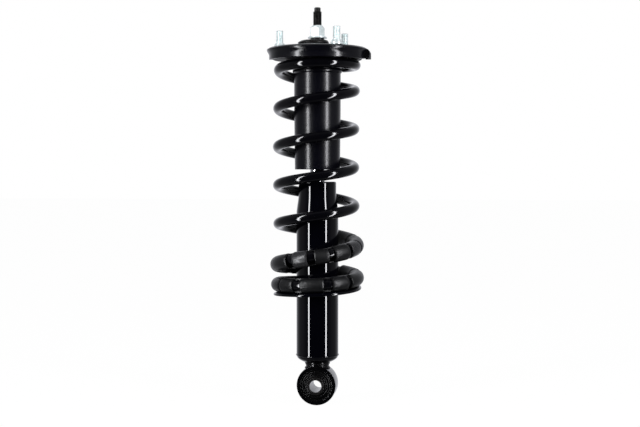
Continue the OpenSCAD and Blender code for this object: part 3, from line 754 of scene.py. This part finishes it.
def make_rod():
    """Chromed rod with its threaded top and a tip with two flats."""
    low, high = node_box("piston_rod")
    bottom, tip = low[2], high[2]
    shoulder, thread_end = 441.0, tip - 5.5
    thread_start, pitch, half_flat = 470.0, 1.25, 3.5
    rows = rounded(
        [
            (0, bottom), (6, bottom, 0.8), (6, 210, 0.1), (10, 210, 0.3), (10, shoulder, 0.8),
            (6, shoulder, 0.2), (6, thread_start, 0),
        ],
        closed=False,
    )
    threaded = [(6.0, z) for z in thread_rows(thread_start, thread_end - 0.9, pitch)]
    end = [(5.1, thread_end), (4.35, thread_end + 0.2), (4.35, tip - 0.7), (3.65, tip), (0, tip)]
    outline = rows[:-1] + threaded + end
    segments = 96
    verts = []
    for r, z in outline:
        for j in range(segments):
            angle = math.tau * j / segments
            reach = r
            if (r, z) in threaded:
                reach = thread_radius(r, z, angle, pitch, thread_start, thread_end - 0.9)
            x, y = reach * math.cos(angle), reach * math.sin(angle)
            if thread_end + 0.6 < z:
                y = max(-half_flat, min(half_flat, y))
            verts.append((x, y, z))
    rod = make_piece(
        "rod", verts, grid_faces(len(outline), segments, False), "chromed_rod", TOP, ("piston_rod",),
        "chromed_rod", 40,
    )
    rod.data.materials.append(LOOKS["black_oxide"])
    for face in rod.data.polygons:
        if face.center.z > (shoulder + 2) * MM:
            face.material_index = SECOND_LOOK


def hexagon(corner_r, angle):
    """Radius of a hexagon in a direction."""
    sixth = math.pi / 3
    return corner_r * math.cos(sixth / 2) / math.cos(angle % sixth - sixth / 2)


def make_nut():
    low, high = node_box("top_nut")
    base, top, corner = low[2], high[2], 10.4
    turn = math.radians(12)
    cone_top_r, cone_h, cone_spread = 7.0, 6, 4.4

    def shape(r, z, angle):
        if z < base + 3.0 or r < cone_top_r:
            return r
        cone = cone_top_r + cone_spread * (top - z) / cone_h
        return min(hexagon(corner, angle + turn), cone, r)

    turned(
        "flange_nut",
        [
            (6.06, base, 0), (12.9, base, 0.2), (13.4, base + 0.3, 0.2), (13.4, base + 1.0, 0.4),
            (10.6, base + 2.9, 0.3), (11, base + 3.3, 0), (11, base + 8),
            *[(11, top - 4.8 + 0.4 * i) for i in range(12)], (11, top), (cone_top_r, top, 0.1),
            (6.06, top - 0.8, 0),
        ],
        "zinc", TOP, segments=180, shape=shape, replaces=("top_nut",), slot="zinc_steel", sharp=28,
    )


def make_studs():
    """Three studs with a knurled collar, a thread and a plain head below the plate."""
    low, high = node_box("mount_studs")
    plate_top = node_box("mount_plate")[1][2]
    collar_top, tip, pitch = plate_top + 6.5, high[2], 1.25
    circle_r, offset, foot_r = 56.0, 4.0, 8.2
    thread_from = collar_top + 0.5

    def shape(r, z, angle):
        if r == foot_r and z > plate_top + 0.5:
            return r - 0.25 * abs(math.sin(angle * 16))
        if z >= thread_from and r > 4.95:
            return thread_radius(r, z, angle, pitch, thread_from, tip - 0.8)
        return r

    plate_bottom = plate_top - 3.4
    profile = [
        (0, low[2]), (5.4, low[2]), (6.0, low[2] + 0.6), (6.0, plate_bottom - 0.1),
        (5.5, plate_bottom - 0.06), (5.5, plate_top), (7.9, plate_top + 0.01),
        (foot_r, plate_top + 0.3), (foot_r, plate_top + 0.6), (foot_r, plate_top + 2.5),
        (7.9, plate_top + 2.9), (6.7, collar_top - 0.3), (6.3, collar_top),
        (5.0, collar_top + 0.02),
    ]
    profile += [(5.0, z) for z in thread_rows(thread_from, tip - 0.8, pitch)]
    profile += [(4.2, tip), (0, tip)]
    segments = 96
    for i, turn in enumerate((180, 60, -60)):
        angle = math.radians(turn)
        middle = (offset + circle_r * math.cos(angle), circle_r * math.sin(angle))
        turned(
            f"stud_{i + 1}", profile, "zinc", TOP, closed=False, segments=segments, shape=shape,
            centre=middle, replaces=("mount_studs",), slot="zinc_steel", sharp=32,
        )


# ---------------------------------------------------------------- dust tube and upper mount


def make_dust_tube():
    turned(
        "dust_cover",
        [
            (29.2, 292, 0.4), (30.7, 292, 0.5), (31.75, 376, 20), (31.75, 422.6, 1.0), (33.8, 424.0, 1.6),
            (33.8, 428.2, 1.9), (30.6, 430.5, 1.2), (12.5, 430.5, 0.4), (12.5, 428.2, 0.4),
            (28.5, 428.2, 1.0), (30.25, 426.4, 1.0), (30.25, 376, 20),
        ],
        "dust_paint", TOP, segments=192, replaces=("dust_tube",), slot="black_satin",
    )
    waist, crest, steps = 17.5, 21.0, 3
    low, high = node_box("bump_stop")
    step = (high[2] - low[2]) / (steps + 1)
    side = []
    for i in range(steps):
        z = low[2] + step * (i + 1)
        side += [(crest, z - 3.2, 2.4), (waist, z - 0.8, 1.0)]
        side += [(waist, z + 0.8, 1.0), (crest, z + 3.2, 2.4)]
    stop = turned(
        "bump_block",
        [
            (10.6, low[2], 0.6), (14.6, low[2], 1.0), (crest, low[2] + 4, 1.6), *side,
            (crest, high[2], 0.8), (10.6, high[2], 0.4),
        ],
        "bump_foam", TOP, segments=96, replaces=("bump_stop",), slot="bump_foam",
    )
    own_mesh(stop)


CUP_UNDER_Z, CUP_RIM_Z, CUP_RIM_R = 445.5, 440.5, 65.8
RIM_WALL = 3.0
RIM_SLANT, RIM_SLANT_Z = math.tan(math.radians(4.9)), 442.0
PAD_OFFSET = -5.5


def slant_rim(cup):
    """Lifts the rim's lower edge towards the back, up to the underside of the cup's floor."""
    for vertex in cup.data.vertices:
        z = vertex.co.z / MM
        if math.hypot(vertex.co.x, vertex.co.y) > (CUP_RIM_R - RIM_WALL) * MM and z < CUP_UNDER_Z:
            slanted = RIM_SLANT_Z + RIM_SLANT * vertex.co.y / MM
            share = (CUP_UNDER_Z - z) / (CUP_UNDER_Z - CUP_RIM_Z)
            lifted = max(CUP_RIM_Z, min(slanted, CUP_UNDER_Z - 0.1))
            vertex.co.z = (CUP_UNDER_Z - share * (CUP_UNDER_Z - lifted)) * MM


def off_centre(inside, outside):
    """Shifts rings towards the pad's own centre, from none at one radius to all of it at another."""
    return lambda r: PAD_OFFSET * min(1, max(0, (r - inside) / (outside - inside)))


def make_mount():
    cup = turned(
        "seat_cup",
        [
            (12.5, 430.5, 0.3), (36, 430.5, 2.0), (36, CUP_UNDER_Z, 2.2), (63.4, CUP_UNDER_Z, 1.2),
            (63.4, CUP_RIM_Z, 0.5), (CUP_RIM_R, CUP_RIM_Z, 1.0), (CUP_RIM_R, 447.6, 2.2),
            (68.6, 452.3, 1.2), (69.0, 454.0, 0.3), (66.8, 454.0, 0.3),
            (66.3, 452.9, 0.5), (63.9, 448.0, 1.2), (33.5, 448, 1.6), (33.5, 433, 1.6), (12.5, 433, 0.3),
        ],
        "mount_paint", TOP, segments=224, replaces=("upper_seat_cup",), slot="black_satin",
    )
    slant_rim(cup)
    turned(
        "top_plate",
        [
            (13, 454.05, 0.3), (68.7, 454.05, 0.3), (69.0, 454.7, 0.4), (64.9, 457.5, 2.4),
            (13, 457.5, 0.8),
        ],
        "mount_paint", TOP, segments=224, replaces=("mount_plate",), slot="black_satin",
    )
    ring_bottom = node_box("spring_insulator")[0][2]
    turned(
        "seat_rubber",
        [
            (36.05, CUP_UNDER_Z, 0.2), (60.5, CUP_UNDER_Z, 0.5), (60.5, ring_bottom + 9.5, 0.8),
            (43, ring_bottom + 9.5, 0.6), (43, ring_bottom + 1.5, 1.2), (41, ring_bottom, 0.8),
            (36.05, ring_bottom, 0.4),
        ],
        "cushion_rubber", TOP, segments=128, replaces=("spring_insulator",), slot="black_rubber",
    )
    turned(
        "top_cushion",
        [
            (8.05, 455.85, 0.1), (12.8, 455.85, 0.1), (12.8, 457.55, 0.1), (20.6, 457.55, 0.8),
            (21.5, 459.4, 1.4), (21.5, 461.6, 1.4), (20.3, 463.5, 0.8), (8.05, 463.5, 0.1),
        ],
        "cushion_rubber", TOP, segments=128, lean=off_centre(12.8, 20), replaces=("upper_cushion",),
        slot="black_rubber",
    )
    turned(
        "top_washer",
        [
            (6.05, 463.5, 0.1), (20.9, 463.5, 0.3), (21.3, 464.1, 0.4), (21.1, 465.2, 0.6),
            (17.8, 467.8, 1.2), (9.5, 468, 0.2), (6.05, 468, 0.2),
        ],
        "black_oxide", TOP, segments=128, lean=off_centre(9.5, 21), replaces=("upper_retainer",),
        slot="black_oxide",
    )
    turned(
        "collar",
        [(6.05, 468, 0.1), (9.4, 468, 0.4), (9.4, 470.5, 0.4), (6.05, 470.5, 0.1)],
        "black_oxide", TOP, segments=96, replaces=("clamp_collar",), slot="black_oxide",
    )


# ---------------------------------------------------------------- the whole strut

CAD_LOOKS = {
    "pressure_tube": "plain_steel",
    "base_valve_body": "plain_steel",
    "base_valve_discs": "plain_steel",
    "base_valve_bolt": "plain_steel",
    "rod_guide": "plain_steel",
    "guide_bush": "bronze",
    "rod_seal": "cushion_rubber",
    "piston": "plain_steel",
    "piston_band": "band_plastic",
    "upper_shims": "plain_steel",
    "lower_shims": "plain_steel",
    "piston_nut": "plain_steel",
    "rebound_stop": "plain_steel",
    "rebound_cushion": "cushion_rubber",
    "locating_tab": "tab_paint",
    "lower_retainer": "plain_steel",
    "lower_cushion": "cushion_rubber",
    "centre_sleeve": "plain_steel",
}
for node_name, look_name in CAD_LOOKS.items():
    node_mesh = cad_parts[node_name].data
    node_mesh.materials.clear()
    node_mesh.materials.append(LOOKS[look_name])

make_camera()
make_world()
make_floor()
softbox("left_strip", -48, 1.6, 0.25, 0.19, 3.0, 41, (0.96, 0.97, 1.0))
softbox("right_strip", 48, 1.6, 0.25, 0.19, 3.0, 41, (0.96, 0.96, 1.0))
softbox("front_fill", 0, 1.9, 0.75, 1.5, 1.2, 26, (1.0, 1.0, 1.0), mirrored=False)

make_body()
make_eye()
make_seat()
make_seat_weld()
make_eye_welds()
make_spring()
make_hoses()
make_dust_tube()
make_mount()
make_rod()
make_nut()
make_studs()

bpy.context.scene.view_settings.view_transform = "Standard"
